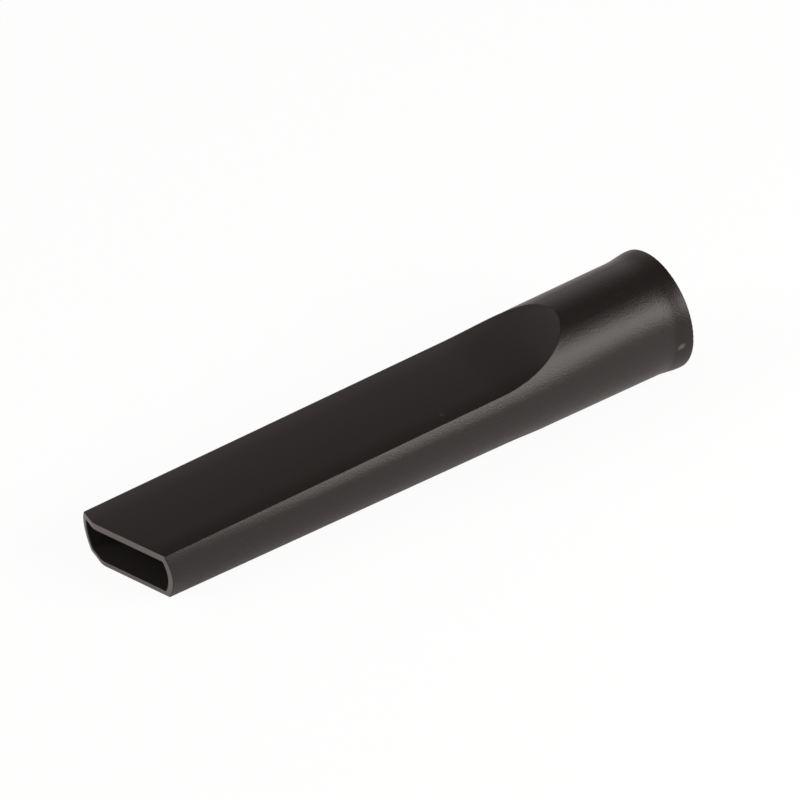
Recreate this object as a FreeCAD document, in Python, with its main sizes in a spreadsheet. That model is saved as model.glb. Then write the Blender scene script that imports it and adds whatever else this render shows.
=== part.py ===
"""Vacuum crevice tool: one hollow moulding that goes from a round socket to a flat slanted mouth.

The tool is drawn in its own frame, with the origin at the centre of the socket's rim, +X along the
tube to the mouth, +Y to the side where the mouth is cut back and +Z up. It is then laid down as it
comes to rest, on the belly of the tube and the lower lip of the mouth, with the mouth towards -X.
"""
import FreeCAD, Part
import math
import os
import Sketcher

NODE = "crevice_tool"
TINY = 1e-4
OUTLINE_STEP = 0.1
ALONG = FreeCAD.Vector(1, 0, 0)
ACROSS = FreeCAD.Vector(0, 1, 0)
UP = FreeCAD.Vector(0, 0, 1)

# Driving dimensions, in millimetres and degrees.
SIZES = {
    # rim of the socket to the bend of the mouth, at half height and before it is rounded
    "tool_length": 207.9,
    # socket for the wand, with a stop at its end
    "socket_radius": 17.5,
    "socket_depth": 38.0,
    "lead_in": 0.8,
    "stop_ramp": 1.5,
    # drafted tube
    "socket_wall": 1.83,
    "tube_draft": 1.41,
    # flared collar round the socket's rim
    "collar_flare": 0.75,
    "collar_land": 2.0,
    "collar_rounding": 0.4,
    "flare_length": 8.0,
    "flare_blend": 14.0,
    # flats above and below, each ending in a tangent arc
    "mouth_half_height": 8.45,
    "runout_half_height": 10.1,
    "runout_start": 72.5,
    # from the end of the stop to where the tube starts to narrow
    "stop_land": 0.9,
    # walls of the duct, whose sides are thicker behind the stop than at the mouth
    "side_wall": 2.6,
    "mouth_side_wall": 2.0,
    "roof_wall": 2.5,
    "floor_wall": 1.95,
    "duct_rounding": 0.6,
    # slanted mouth, seen from above and from the side
    "mouth_slant": 18.55,
    "mouth_lean": 7.0,
    # blunt tip on the far side of the mouth
    "tip_offset": 8.9,
    "tip_slant": 8.5,
    "tip_lean": 9.8,
    "tip_rounding": 6.0,
    # outer edges of the mouth and of the flats, and the inner edge of the mouth
    "edge_rounding": 0.5,
    "inner_lip_rounding": 0.3,
    # length of the blank that the mouth cut takes off
    "trim": 6.0,
}

# Sizes that follow from the driving ones.
DERIVED = {
    "tube_radius": "=socket_radius + socket_wall",
    "mouth_radius": "=tube_radius - tube_draft",
    "collar_radius": "=tube_radius + collar_flare",
    "runout_crest": "=socket_depth + stop_ramp + stop_land",
}


def fill_sheet(doc):
    """One row for each dimension, with its name as alias."""
    sheet = doc.addObject("Spreadsheet::Sheet", "Sizes")
    for row, (name, value) in enumerate([*SIZES.items(), *DERIVED.items()], start=1):
        sheet.set(f"A{row}", name)
        sheet.set(f"B{row}", str(value))
        sheet.setAlias(f"B{row}", name)
    doc.recompute()


def size(name):
    return f"Sizes.{name}"


def number(expression):
    """Value of an expression that is written in the names of the sheet."""
    return float(FreeCAD.ActiveDocument.Sizes.evalExpression(expression))


def origin_feature(body, role):
    return next(feature for feature in body.Origin.OriginFeatures if feature.Role == role)


def add_sketch(body, name, role):
    sketch = body.newObject("Sketcher::SketchObject", name)
    sketch.AttachmentSupport = (origin_feature(body, role), [""])
    sketch.MapMode = "FlatFace"
    return sketch


def bind(sketch, constraint, expression):
    index = sketch.addConstraint(constraint)
    sketch.setExpression(f"Constraints[{index}]", expression)


def pin(sketch, vertex, kind, expression):
    """Hold one coordinate of a vertex, measured from the sketch's origin."""
    distance = number(expression)
    if abs(distance) < TINY:
        axis = -2 if kind == "DistanceX" else -1
        sketch.addConstraint(Sketcher.Constraint("PointOnObject", *vertex, axis))
    elif distance > 0:
        bind(sketch, Sketcher.Constraint(kind, -1, 1, *vertex, distance), expression)
    else:
        bind(sketch, Sketcher.Constraint(kind, *vertex, -1, 1, -distance), f"-({expression})")


def draw_outline(sketch, corners):
    """Closed straight-sided outline, each corner a pair of expressions."""
    points = [FreeCAD.Vector(number(first), number(second), 0) for first, second in corners]
    count = len(points)
    for index, point in enumerate(points):
        sketch.addGeometry(Part.LineSegment(point, points[(index + 1) % count]))
    for index, (first, second) in enumerate(corners):
        sketch.addConstraint(Sketcher.Constraint("Coincident", index, 2, (index + 1) % count, 1))
        pin(sketch, (index, 1), "DistanceX", first)
        pin(sketch, (index, 1), "DistanceY", second)


def draw_flat(sketch, mouth_height, runout_height, crest_height):
    """What goes above a flat: a straight run back from the mouth, and a tangent arc up past the crest."""
    far = f"{size('tool_length')} + 2 * {size('trim')}"
    top = size("collar_radius")
    mouth = FreeCAD.Vector(number(far), number(mouth_height), 0)
    runout = FreeCAD.Vector(number(size("runout_start")), number(runout_height), 0)
    crest = FreeCAD.Vector(number(size("runout_crest")), number(crest_height), 0)
    slope = math.atan2(runout.y - mouth.y, mouth.x - runout.x)
    upright = FreeCAD.Vector(math.sin(slope), math.cos(slope), 0)
    rise = crest - runout
    radius = rise.Length ** 2 / (2 * rise.dot(upright))
    centre = runout + upright * radius
    back = math.sqrt(radius ** 2 - (centre.y - number(top)) ** 2)
    edge = FreeCAD.Vector(centre.x - back, number(top), 0)
    corner = FreeCAD.Vector(mouth.x, edge.y, 0)
    edge_angle = math.atan2(edge.y - centre.y, edge.x - centre.x)
    runout_angle = math.atan2(runout.y - centre.y, runout.x - centre.x)

    flat = sketch.addGeometry(Part.LineSegment(mouth, runout))
    arc = sketch.addGeometry(Part.ArcOfCircle(Part.Circle(centre, UP, radius), edge_angle, runout_angle))
    lid = sketch.addGeometry(Part.LineSegment(edge, corner))
    end = sketch.addGeometry(Part.LineSegment(corner, mouth))
    mark = sketch.addGeometry(Part.Point(crest), True)
    sketch.addConstraint(Sketcher.Constraint("Tangent", flat, 2, arc, 2))
    sketch.addConstraint(Sketcher.Constraint("Coincident", arc, 1, lid, 1))
    sketch.addConstraint(Sketcher.Constraint("Coincident", lid, 2, end, 1))
    sketch.addConstraint(Sketcher.Constraint("Coincident", end, 2, flat, 1))
    sketch.addConstraint(Sketcher.Constraint("Horizontal", lid))
    sketch.addConstraint(Sketcher.Constraint("Vertical", end))
    sketch.addConstraint(Sketcher.Constraint("PointOnObject", mark, 1, arc))
    pin(sketch, (flat, 1), "DistanceX", far)
    pin(sketch, (flat, 1), "DistanceY", mouth_height)
    pin(sketch, (flat, 2), "DistanceX", size("runout_start"))
    pin(sketch, (flat, 2), "DistanceY", runout_height)
    pin(sketch, (mark, 1), "DistanceX", size("runout_crest"))
    pin(sketch, (mark, 1), "DistanceY", crest_height)
    pin(sketch, (lid, 1), "DistanceY", top)


def revolve(body, name, corners):
    """Turn a half section about the tube's axis."""
    sketch = add_sketch(body, f"{name}Section", "XZ_Plane")
    draw_outline(sketch, corners)
    turned = body.newObject("PartDesign::Revolution", name)
    turned.Profile = sketch
    turned.ReferenceAxis = (origin_feature(body, "X_Axis"), [""])
    turned.Angle = 360
    body.Document.recompute()
    return turned


def cut_through(body, name, sketch):
    """Cut a sketch's outline right through, to both sides of its plane."""
    before = body.Shape.Volume
    cut = body.newObject("PartDesign::Pocket", name)
    cut.Profile = sketch
    cut.Type = "ThroughAll"
    cut.SideType = "Symmetric"
    body.Document.recompute()
    if cut.Shape.Volume > before - 1:
        raise RuntimeError(f"{name} cuts nothing")
    return cut


def cut_flat(body, name, mouth_height, runout_height, crest_height, below=False):
    """Cut a flat on the upper side, or on the lower one."""
    sketch = add_sketch(body, f"{name}Outline", "XZ_Plane")
    if below:
        sketch.AttachmentOffset = FreeCAD.Placement(FreeCAD.Vector(), FreeCAD.Rotation(ALONG, 180))
    draw_flat(sketch, mouth_height, runout_height, crest_height)
    return cut_through(body, name, sketch)


def mirror_below(body, name, feature):
    mirrored = body.newObject("PartDesign::Mirrored", name)
    mirrored.Originals = [feature]
    mirrored.MirrorPlane = (origin_feature(body, "XY_Plane"), [""])
    body.Tip = mirrored
    body.Document.recompute()
    return mirrored


def cut_end(body, name, near_slant, lean):
    """Cut the end off along a line through the mouth's bend, slanted from above and leaning back below."""
    sketch = add_sketch(body, f"{name}Outline", "XY_Plane")
    sketch.AttachmentOffset = FreeCAD.Placement(FreeCAD.Vector(), FreeCAD.Rotation(ACROSS, 1))
    sketch.setExpression("AttachmentOffset.Base.x", size("tool_length"))
    sketch.setExpression("AttachmentOffset.Rotation.Angle", lean)
    side = size("collar_radius")
    bend = size("tip_offset")
    past = f"2 * {size('trim')}"
    draw_outline(sketch, [
        (f"({side} - {bend}) * tan({near_slant} * 1 deg)", f"-{side}"),
        (f"-({side} + {bend}) * tan({near_slant} * 1 deg)", side),
        (past, side),
        (past, f"-{side}"),
    ])
    return cut_through(body, name, sketch)


def round_edges(body, name, base, wanted, radius):
    """Fillet those edges of a feature that a test picks."""
    picked = [f"Edge{index}" for index, edge in enumerate(base.Shape.Edges, start=1) if wanted(edge)]
    if not picked:
        raise RuntimeError(f"{name} finds no edge")
    fillet = body.newObject("PartDesign::Fillet", name)
    fillet.Base = (base, picked)
    fillet.setExpression("Radius", radius)
    body.Document.recompute()
    if not fillet.isValid():
        raise RuntimeError(f"{name} failed")
    return fillet


def is_ring(edge, along):
    """A full circle about the tube's axis, at a distance from the rim."""
    circle = edge.Curve
    return isinstance(circle, Part.Circle) and abs(circle.Center.x - number(along)) < TINY


def at_mouth(thing):
    """Wholly within two collar radii of the tip, as only the mouth's own faces and edges are."""
    return thing.BoundBox.XMin > number(f"{size('tool_length')} - 2 * {size('collar_radius')}")


def region(face):
    """Which part of the outside a face belongs to."""
    surface = face.Surface
    if at_mouth(face):
        return "mouth"
    if isinstance(surface, Part.Plane) and abs(surface.Axis.z) > abs(surface.Axis.x):
        return "flat"
    if isinstance(surface, Part.Cylinder) and abs(surface.Axis.y) > abs(surface.Axis.x):
        return "flat"
    return "tube"


def regions_at(shape, edge):
    """Parts of the outside that meet at an edge."""
    return [region(face) for face in shape.ancestorsOfType(edge, Part.Face)]


def is_lip(shape, edge):
    return len(set(regions_at(shape, edge))) > 1 and "mouth" in regions_at(shape, edge)


def is_long_edge(shape, edge):
    return set(regions_at(shape, edge)) == {"flat", "tube"}


def make_outside(doc):
    """Collar and tube turned in one, then the flats, the mouth and the rounded edges."""
    body = doc.addObject("PartDesign::Body", "Tool")
    blank_end = f"{size('tool_length')} + {size('trim')}"
    tube = revolve(body, "Tube", [
        ("0", "0"),
        ("0", size("collar_radius")),
        (size("collar_land"), size("collar_radius")),
        (size("flare_length"), size("tube_radius")),
        (blank_end, size("mouth_radius")),
        (blank_end, "0"),
    ])
    flare = round_edges(
        body, "FlareBlend", tube,
        lambda edge: is_ring(edge, size("flare_length")) or is_ring(edge, size("collar_land")),
        size("flare_blend"))
    round_edges(body, "RimRounding", flare, lambda edge: is_ring(edge, "0"), size("collar_rounding"))
    flat = cut_flat(
        body, "Flat", size("mouth_half_height"), size("runout_half_height"), size("tube_radius"))
    mirror_below(body, "FlatMirrored", flat)
    cut_end(body, "Mouth", size("mouth_slant"), size("mouth_lean"))
    ends = cut_end(body, "Tip", f"-{size('tip_slant')}", size("tip_lean"))
    tip = round_edges(
        body, "TipRounding", ends,
        lambda edge: regions_at(ends.Shape, edge) == ["mouth", "mouth"], size("tip_rounding"))
    round_edges(
        body, "EdgeRounding", tip,
        lambda edge: is_lip(tip.Shape, edge) or is_long_edge(tip.Shape, edge), size("edge_rounding"))
    return body


def make_core(doc):
    """Inside of the tool: socket, stop and duct, of the same form as the outside less the walls."""
    body = doc.addObject("PartDesign::Body", "Core")
    duct_end = f"{size('tool_length')} + 2 * {size('trim')}"
    duct_radius = f"{size('tube_radius')} - {size('side_wall')}"
    revolve(body, "Socket", [
        (f"-{size('lead_in')}", "0"),
        (f"-{size('lead_in')}", f"{size('socket_radius')} + 2 * {size('lead_in')}"),
        (size("lead_in"), size("socket_radius")),
        (size("socket_depth"), size("socket_radius")),
        (f"{size('socket_depth')} + {size('stop_ramp')}", duct_radius),
        (duct_end, f"{size('mouth_radius')} - {size('mouth_side_wall')}"),
        (duct_end, "0"),
    ])
    mouth_height = size("mouth_half_height")
    runout_height = size("runout_half_height")
    for name, wall, below in (("Roof", size("roof_wall"), False), ("Floor", size("floor_wall"), True)):
        duct = cut_flat(
            body, name, f"{mouth_height} - {wall}", f"{runout_height} - {wall}", duct_radius, below)
    round_edges(
        body, "DuctRounding", duct, lambda edge: is_long_edge(duct.Shape, edge), size("duct_rounding"))
    return body


def hollow_out(body, core):
    """Take the core out of the tool and ease the inner edge of the mouth."""
    core_shape = core.Shape.copy()
    hollow = body.newObject("PartDesign::Boolean", "Hollow")
    hollow.Type = "Cut"
    hollow.setObjects([core])
    body.Document.recompute()

    def is_inner_lip(edge):
        middle = Part.Vertex(edge.valueAt((edge.FirstParameter + edge.LastParameter) / 2))
        on_core = min(face.distToShape(middle)[0] for face in core_shape.Faces) < TINY
        return at_mouth(edge) and on_core

    round_edges(body, "InnerLipRounding", hollow, is_inner_lip, size("inner_lip_rounding"))


def resting_pitch(solid):
    """Slope of the stretch of the lower outline, seen from the side, that the tool's weight rests on."""
    outline = sorted({(point.x, point.z) for point in solid.tessellate(OUTLINE_STEP)[0]})
    under = []
    for x, z in outline:
        while len(under) > 1 and lies_above(under[-1], under[-2], (x, z)):
            under.pop()
        under.append((x, z))
    weight = solid.CenterOfMass.x
    for start, end in zip(under, under[1:]):
        if start[0] <= weight <= end[0]:
            return math.degrees(math.atan2(end[1] - start[1], end[0] - start[0]))


def lies_above(middle, start, end):
    """Whether a point lies on or above the straight line between two others."""
    slope = (end[1] - start[1]) / max(end[0] - start[0], TINY)
    return middle[1] >= start[1] + slope * (middle[0] - start[0])


def lay_down(body):
    """Pitch the tool on to its belly and lower lip, and centre its footprint on the origin."""
    pitch = resting_pitch(body.Shape.Solids[0])
    turn = FreeCAD.Rotation(UP, 180).multiply(FreeCAD.Rotation(ACROSS, pitch))
    body.Placement = FreeCAD.Placement(FreeCAD.Vector(), turn)
    body.Document.recompute()
    box = body.Shape.optimalBoundingBox(False, False)
    body.Placement = FreeCAD.Placement(FreeCAD.Vector(-box.Center.x, -box.Center.y, -box.ZMin), turn)
    body.Document.recompute()


def check(doc, body):
    for item in doc.Objects:
        if "Invalid" in item.State or "Error" in item.State:
            raise RuntimeError(f"{item.Label} failed")
    if body.Shape.isNull() or not body.Shape.isValid() or len(body.Shape.Solids) != 1:
        raise RuntimeError(f"{body.Label} isn't one sound solid")


def main():
    doc = FreeCAD.newDocument("CreviceTool")
    fill_sheet(doc)
    tool = make_outside(doc)
    hollow_out(tool, make_core(doc))
    lay_down(tool)
    tool.Label = NODE
    check(doc, tool)
    os.makedirs("parts", exist_ok=True)
    tool.Shape.exportStep(f"parts/{NODE}.step")
    print(tool.Label, tool.Placement, round(tool.Shape.Volume))


main()
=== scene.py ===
"""Looks of the vacuum crevice tool: black moulded plastic on a pale floor under soft light."""
import math

import bpy
from mathutils import Matrix, Vector

NODE = "crevice_tool"

# Camera of the photograph: places in metres, roll in degrees, lens and sensor in millimetres.
CAMERA_PLACE = Vector((-1.59178, -1.9202, 1.96698))
CAMERA_AIM = Vector((0.025279, 0.02612, 0.0))
CAMERA_ROLL = 5.0218
CAMERA_LENS = 461.022
SENSOR_WIDTH = 36.0
CLIP_NEAR = 0.1
CLIP_FAR = 50.0

# Soft lamps: where they hang, their width and height in metres, their power in watts and their colour.
LAMPS = {
    "key": ((0.385, -0.470, 0.425), (0.62, 0.34), 4.6, (1.0, 0.94, 0.905)),
    "left": ((-1.5, 0.45, 0.95), (0.9, 0.6), 16.0, (1.0, 0.95, 0.92)),
}
LAMP_AIM = Vector((0.02, 0.0, 0.02))

# Brightness of the room by height along an axis that leans a little aside of overhead, and its colour.
SKY_AXIS = (0.35, 0.0, 0.937)
SKY = (
    (0.177, 0.62), (0.364, 0.78), (0.523, 0.78), (0.640, 0.49), (0.735, 0.42),
    (0.800, 0.25), (0.860, 0.06), (0.925, 0.02), (1.0, 0.02),
)
SKY_COLOUR = (1.0, 0.94, 0.91)

# Floor: half its width in metres, its grey, and the share of plain white in it on each kind of ray.
FLOOR_HALF_WIDTH = 6.0
FLOOR_GREY = (0.9, 0.9, 0.9, 1.0)
WHITE = (1.0, 1.0, 1.0, 1.0)
FLOOR_WHITE = {"Is Camera Ray": 0.93, "Is Glossy Ray": 0.12, "Is Transmission Ray": 0.12}

# Colours of the plastic: on the whole; painted light on the ends of the mouth that face out of it and inside
# the duct; and in small marks, a scuff of wear and a painted glint.
BLACK = (0.0092, 0.0072, 0.0067, 1.0)
# Painted light: the end faces of the mouth are made paler where they face out of it, for the light that falls
# on them.
END_PAINTED_LIGHT_GREY = (0.092, 0.086, 0.084, 1.0)
# Painted light: the hollow inside of the duct is made paler to stand in for light there.
INSIDE_PAINTED_LIGHT_GREY = (0.0175, 0.0157, 0.0148, 1.0)
# Pale marks: a scuff of wear, and a painted glint on a small nick in the collar.
MARK_AND_GLINT_GREY = (0.095, 0.089, 0.085, 1.0)

# Where the painted light inside and on the ends begins and is full: by how open a spot is, and by how far it
# faces out of the mouth.
HOLLOW_REACH = 0.03
HOLLOW_OPEN = (0.9, 0.4)
END_FACING = (0.6, 0.9)

# Roughness of the plastic, and its shine on the whole and on the collar's land.
ROUGHNESS = 0.38
SHINE = 0.36
LAND_SHINE = 0.31

# Moulded grain in metres, its detail, and its strength on the flats beside that on the round outside.
GRAIN_SIZE = 0.00055
GRAIN_HEIGHT = 0.00008
GRAIN_DETAIL = 1.0
FLAT_GRAIN = 0.25

# Flats that are crowned and roll down to their long edges: curves per metre, start from the middle in
# metres, and how far a spot faces up or down before it counts.
FLAT_CROWN = 1.5
ROLL_START = 0.0095
ROLL_CURVE = 8.0
FLAT_FACING = (0.90, 0.95)

# Axis of the round outside: middle of the collar's rim in metres, pitch down towards the mouth in degrees,
# and how far a spot faces away from it and lies away from it before it counts as round.
AXIS_START = (0.103929, 0.0, 0.0216443)
AXIS_PITCH = 3.6339
ROUND_FACING = (0.90, 0.96)
ROUND_RADIUS = (0.0165, 0.0172)

# Rolled shoulders of the sides: lean as a share of the normal, ends along X in metres, and the range of
# upward facing between their foot and the flat.
SHOULDER_LEAN = 0.18
SHOULDER_BACK = (0.085, 0.025)
SHOULDER_FRONT = (-0.125, -0.03)
SHOULDER_FOOT = (0.18, 0.39)
SHOULDER_TOP = (0.74, 0.50)

# Land of the collar: lean as a share of the normal, and where it begins along X in metres.
LAND_LEAN = 0.10
LAND_START = (0.0962, 0.0982)

# Small pale marks, a scuff of wear and a painted glint on the lit side of a nick in the collar: middle and
# half size in metres, turn about Y in degrees and strength; and their soft edge.
MARKS_AND_GLINT = {
    # Painted glint: the lit side of a small nick in the collar, as a pale patch.
    "collar_nick_glint": ((0.09925, -0.02008, 0.02136), (0.0021, 0.0020, 0.0014), -27.0, 0.9),
    "edge_scuff": ((0.01086, -0.01202, 0.02563), (0.0012, 0.0011, 0.0010), 0.0, 0.14),
}
MARK_EDGE = (1.0, 0.2)

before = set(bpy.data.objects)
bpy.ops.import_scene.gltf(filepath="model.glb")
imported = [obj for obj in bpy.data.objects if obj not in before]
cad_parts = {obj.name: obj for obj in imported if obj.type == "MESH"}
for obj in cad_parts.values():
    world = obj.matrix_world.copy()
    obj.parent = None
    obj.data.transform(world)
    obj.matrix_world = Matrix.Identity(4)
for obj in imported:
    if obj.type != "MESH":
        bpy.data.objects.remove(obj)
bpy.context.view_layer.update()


def look_along(place, aim, roll=0.0):
    """Pose of a camera or lamp that looks from one place to another, turned by a roll in degrees."""
    facing = (aim - place).to_track_quat("-Z", "Y").to_matrix()
    turned = facing @ Matrix.Rotation(math.radians(roll), 3, "Z")
    return Matrix.Translation(place) @ turned.to_4x4()


def add_camera():
    """The camera that sees the tool as the photograph does."""
    data = bpy.data.cameras.new("camera")
    data.lens = CAMERA_LENS
    data.sensor_width = SENSOR_WIDTH
    data.clip_start = CLIP_NEAR
    data.clip_end = CLIP_FAR
    camera = bpy.data.objects.new("camera", data)
    bpy.context.scene.collection.objects.link(camera)
    camera.matrix_world = look_along(CAMERA_PLACE, CAMERA_AIM, CAMERA_ROLL)
    bpy.context.scene.camera = camera


def add_lamps():
    """Soft rectangles of light, all aimed at the tool."""
    for name, (place, shape, power, colour) in LAMPS.items():
        data = bpy.data.lights.new(name, "AREA")
        data.shape = "RECTANGLE"
        data.size, data.size_y = shape
        data.energy = power
        data.color = colour
        lamp = bpy.data.objects.new(name, data)
        bpy.context.scene.collection.objects.link(lamp)
        lamp.matrix_world = look_along(Vector(place), LAMP_AIM)


def new_material(name):
    """A material with an empty tree of nodes, and that tree."""
    material = bpy.data.materials.new(name)
    material.use_nodes = True
    tree = material.node_tree
    tree.nodes.clear()
    return material, tree


def add_node(tree, kind, **inputs):
    """A node with plain values on its inputs, named with an underscore for each space."""
    node = tree.nodes.new(kind)
    for name, value in inputs.items():
        node.inputs[name.replace("_", " ")].default_value = value
    return node


def feed(tree, value, slot):
    """Give an input a plain value, or the output of another node."""
    if isinstance(value, bpy.types.NodeSocket):
        tree.links.new(value, slot)
    else:
        slot.default_value = value


def math_node(tree, operation, *values):
    """Result of a sum on numbers."""
    node = tree.nodes.new("ShaderNodeMath")
    node.operation = operation
    for value, slot in zip(values, node.inputs):
        feed(tree, value, slot)
    return node.outputs["Value"]


def vector_node(tree, operation, *values, result="Vector"):
    """Result of a sum on vectors; a number among them stands for all three parts."""
    node = tree.nodes.new("ShaderNodeVectorMath")
    node.operation = operation
    for value, slot in zip(values, node.inputs):
        feed(tree, value, slot)
    return node.outputs[result]


def parts(tree, vector):
    """The X, Y and Z of a vector, by name."""
    node = tree.nodes.new("ShaderNodeSeparateXYZ")
    tree.links.new(vector, node.inputs["Vector"])
    return node.outputs


def ramp_up(tree, value, limits):
    """Smooth step from 0 at the first limit to 1 at the second."""
    low, high = limits
    node = add_node(tree, "ShaderNodeMapRange", From_Min=low, From_Max=high)
    node.interpolation_type = "SMOOTHSTEP"
    tree.links.new(value, node.inputs["Value"])
    return node.outputs["Result"]


def blend(tree, share, first, second):
    """Colour between two others, each an output or plain."""
    node = tree.nodes.new("ShaderNodeMix")
    node.data_type = "RGBA"
    feed(tree, share, node.inputs["Factor"])
    feed(tree, first, node.inputs["A"])
    feed(tree, second, node.inputs["B"])
    return node.outputs["Result"]


def between(tree, share, first, second):
    """Vector part of the way from one output to another."""
    way = vector_node(tree, "SUBTRACT", second, first)
    return vector_node(tree, "ADD", first, vector_node(tree, "MULTIPLY", way, share))


def add_world():
    """A room that is dark overhead and pale towards the horizon."""
    world = bpy.data.worlds.new("world")
    world.use_nodes = True
    tree = world.node_tree
    tree.nodes.clear()
    place = tree.nodes.new("ShaderNodeTexCoord")
    height = vector_node(tree, "DOT_PRODUCT", place.outputs["Generated"], SKY_AXIS, result="Value")
    ramp = tree.nodes.new("ShaderNodeValToRGB")
    stops = ramp.color_ramp.elements
    while len(stops) < len(SKY):
        stops.new(1.0)
    for stop, (position, level) in zip(stops, SKY):
        stop.position = position
        stop.color = (*(level * part for part in SKY_COLOUR), 1.0)
    sky = add_node(tree, "ShaderNodeBackground", Strength=1.0)
    out = tree.nodes.new("ShaderNodeOutputWorld")
    tree.links.new(height, ramp.inputs["Fac"])
    tree.links.new(ramp.outputs["Color"], sky.inputs["Color"])
    tree.links.new(sky.outputs["Background"], out.inputs["Surface"])
    bpy.context.scene.world = world


def white_share(tree):
    """How much of the floor's plain white shows on each kind of ray."""
    path = tree.nodes.new("ShaderNodeLightPath")
    total = 0.0
    for name, share in FLOOR_WHITE.items():
        part = math_node(tree, "MULTIPLY", path.outputs[name], share)
        total = math_node(tree, "MAXIMUM", part, total)
    return total


def add_floor():
    """A pale floor that the camera sees as plain white, with the tool's faint shadow."""
    half = FLOOR_HALF_WIDTH
    mesh = bpy.data.meshes.new("floor")
    corners = [(-half, -half, 0.0), (half, -half, 0.0), (half, half, 0.0), (-half, half, 0.0)]
    mesh.from_pydata(corners, [], [(0, 1, 2, 3)])
    floor = bpy.data.objects.new("floor", mesh)
    bpy.context.scene.collection.objects.link(floor)
    material, tree = new_material("floor_white")
    paper = add_node(tree, "ShaderNodeBsdfDiffuse", Color=FLOOR_GREY)
    glow = add_node(tree, "ShaderNodeEmission", Color=WHITE, Strength=1.0)
    mix = tree.nodes.new("ShaderNodeMixShader")
    out = tree.nodes.new("ShaderNodeOutputMaterial")
    tree.links.new(white_share(tree), mix.inputs["Fac"])
    tree.links.new(paper.outputs["BSDF"], mix.inputs[1])
    tree.links.new(glow.outputs["Emission"], mix.inputs[2])
    tree.links.new(mix.outputs["Shader"], out.inputs["Surface"])
    mesh.materials.append(material)


def round_outside(tree, place, facing):
    """Share of the round outside at a spot, and a normal that stands straight out from the axis there."""
    pitch = math.radians(AXIS_PITCH)
    axis = (-math.cos(pitch), 0.0, -math.sin(pitch))
    reach = vector_node(tree, "SUBTRACT", place, AXIS_START)
    along = vector_node(tree, "DOT_PRODUCT", reach, axis, result="Value")
    away = vector_node(tree, "SUBTRACT", reach, vector_node(tree, "MULTIPLY", axis, along))
    radius = vector_node(tree, "LENGTH", away, result="Value")
    straight = vector_node(tree, "NORMALIZE", away)
    match = vector_node(tree, "DOT_PRODUCT", facing, straight, result="Value")
    share = math_node(
        tree, "MULTIPLY", ramp_up(tree, match, ROUND_FACING), ramp_up(tree, radius, ROUND_RADIUS)
    )
    slope = vector_node(tree, "DOT_PRODUCT", facing, axis, result="Value")
    sloped = vector_node(tree, "ADD", straight, vector_node(tree, "MULTIPLY", axis, slope))
    normal = vector_node(tree, "NORMALIZE", between(tree, share, facing, sloped))
    return share, normal


def mark_share(tree, place, middle, half_size, turn):
    """1 in the middle of an ellipsoid that lies across the surface, fading to 0 at its edge."""
    rotation = (0.0, math.radians(turn), 0.0)
    node = add_node(tree, "ShaderNodeMapping", Location=middle, Rotation=rotation, Scale=half_size)
    node.vector_type = "TEXTURE"
    tree.links.new(place, node.inputs["Vector"])
    distance = vector_node(tree, "LENGTH", node.outputs["Vector"], result="Value")
    return ramp_up(tree, distance, MARK_EDGE)


def plastic_colour(tree, place, facing):
    """Black, with painted light on the ends that face out of the mouth and in the hollow inside, and pale
    marks: a scuff of wear and a painted glint on a nick in the collar.
    """
    hollow = add_node(tree, "ShaderNodeAmbientOcclusion", Distance=HOLLOW_REACH)
    hollow.only_local = True
    # Painted light: the inside of the duct, where the tool hides itself, is made paler.
    colour = blend(tree, ramp_up(tree, hollow.outputs["AO"], HOLLOW_OPEN), BLACK, INSIDE_PAINTED_LIGHT_GREY)
    # Painted light: spots that face out of the mouth are made paler.
    out_of_mouth = math_node(tree, "MULTIPLY", parts(tree, facing)["X"], -1.0)
    colour = blend(tree, ramp_up(tree, out_of_mouth, END_FACING), colour, END_PAINTED_LIGHT_GREY)
    # Pale marks: a scuff of wear, and a painted glint on a nick in the collar.
    for middle, half_size, turn, strength in MARKS_AND_GLINT.values():
        share = mark_share(tree, place, middle, half_size, turn)
        colour = blend(tree, math_node(tree, "MULTIPLY", share, strength), colour, MARK_AND_GLINT_GREY)
    return colour


def plastic_height(tree, place, facing, round_share):
    """Fine moulded grain, and flats that are crowned and roll down to their long edges."""
    grain = add_node(tree, "ShaderNodeTexNoise", Scale=1.0 / GRAIN_SIZE, Detail=GRAIN_DETAIL)
    tree.links.new(place, grain.inputs["Vector"])
    strength = math_node(tree, "MULTIPLY_ADD", round_share, 1.0 - FLAT_GRAIN, FLAT_GRAIN)
    relief = math_node(tree, "MULTIPLY", grain.outputs["Fac"], GRAIN_HEIGHT)
    aside = math_node(tree, "ABSOLUTE", parts(tree, place)["Y"])
    past = math_node(tree, "MAXIMUM", math_node(tree, "SUBTRACT", aside, ROLL_START), 0.0)
    crown = math_node(tree, "MULTIPLY", math_node(tree, "POWER", aside, 2.0), -FLAT_CROWN)
    edge = math_node(tree, "MULTIPLY", math_node(tree, "POWER", past, 2.0), -ROLL_CURVE)
    level = ramp_up(tree, math_node(tree, "ABSOLUTE", parts(tree, facing)["Z"]), FLAT_FACING)
    drop = math_node(tree, "MULTIPLY", math_node(tree, "ADD", crown, edge), level)
    return math_node(tree, "MULTIPLY_ADD", relief, strength, drop)


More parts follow.
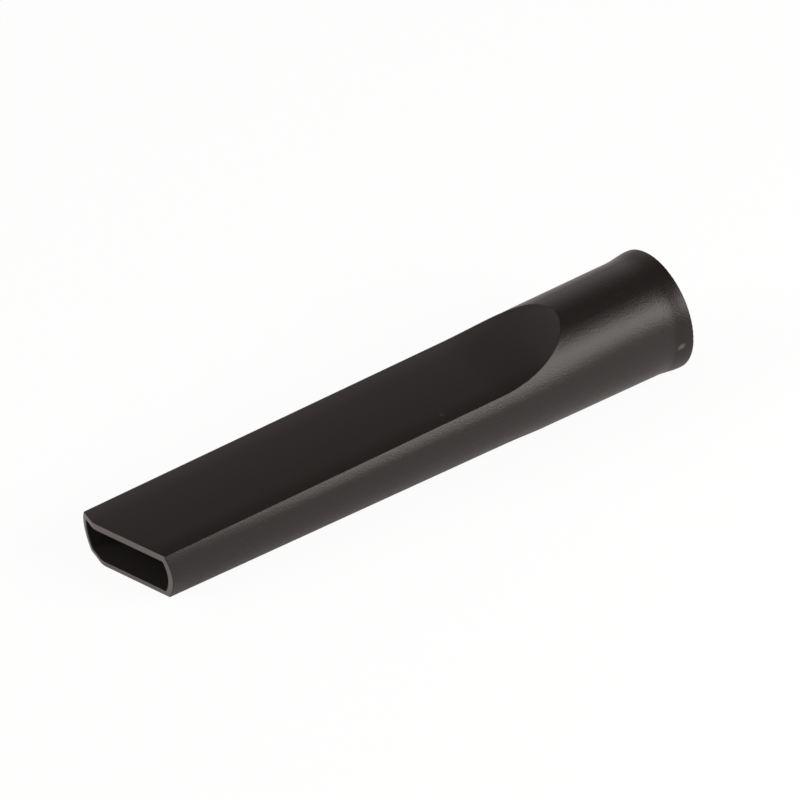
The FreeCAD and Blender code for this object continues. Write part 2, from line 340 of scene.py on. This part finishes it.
def plastic_lean(tree, along, land_share, outward, normal):
    """Normal that leans up on the rolled shoulders of the sides and back on the collar's land."""
    upward = parts(tree, outward)["Z"]
    length = math_node(
        tree, "MULTIPLY", ramp_up(tree, along, SHOULDER_BACK), ramp_up(tree, along, SHOULDER_FRONT)
    )
    height = math_node(
        tree, "MULTIPLY", ramp_up(tree, upward, SHOULDER_FOOT), ramp_up(tree, upward, SHOULDER_TOP)
    )
    shoulder = math_node(tree, "MULTIPLY", length, height)
    lean = tree.nodes.new("ShaderNodeCombineXYZ")
    tree.links.new(math_node(tree, "MULTIPLY", land_share, -LAND_LEAN), lean.inputs["X"])
    tree.links.new(math_node(tree, "MULTIPLY", shoulder, SHOULDER_LEAN), lean.inputs["Z"])
    return vector_node(tree, "NORMALIZE", vector_node(tree, "ADD", normal, lean.outputs["Vector"]))


def plastic():
    """Satin black plastic with a fine grain."""
    material, tree = new_material("black_plastic")
    coordinates = tree.nodes.new("ShaderNodeTexCoord")
    place = coordinates.outputs["Object"]
    facing = coordinates.outputs["Normal"]
    along = parts(tree, place)["X"]
    land_share = ramp_up(tree, along, LAND_START)
    round_share, outward = round_outside(tree, place, facing)
    bump = add_node(tree, "ShaderNodeBump", Strength=1.0, Distance=1.0)
    tree.links.new(plastic_height(tree, place, facing, round_share), bump.inputs["Height"])
    tree.links.new(outward, bump.inputs["Normal"])
    normal = plastic_lean(tree, along, land_share, outward, bump.outputs["Normal"])
    shine = math_node(tree, "MULTIPLY_ADD", land_share, LAND_SHINE - SHINE, SHINE)
    surface = add_node(tree, "ShaderNodeBsdfPrincipled", Roughness=ROUGHNESS)
    tree.links.new(plastic_colour(tree, place, facing), surface.inputs["Base Color"])
    tree.links.new(shine, surface.inputs["Specular IOR Level"])
    tree.links.new(normal, surface.inputs["Normal"])
    out = tree.nodes.new("ShaderNodeOutputMaterial")
    tree.links.new(surface.outputs["BSDF"], out.inputs["Surface"])
    return material


def dress_tool():
    """Give the tool its plastic."""
    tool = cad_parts[NODE]
    tool.data.materials.clear()
    tool.data.materials.append(plastic())


add_camera()
add_world()
add_lamps()
add_floor()
dress_tool()
bpy.context.scene.view_settings.view_transform = "Standard"
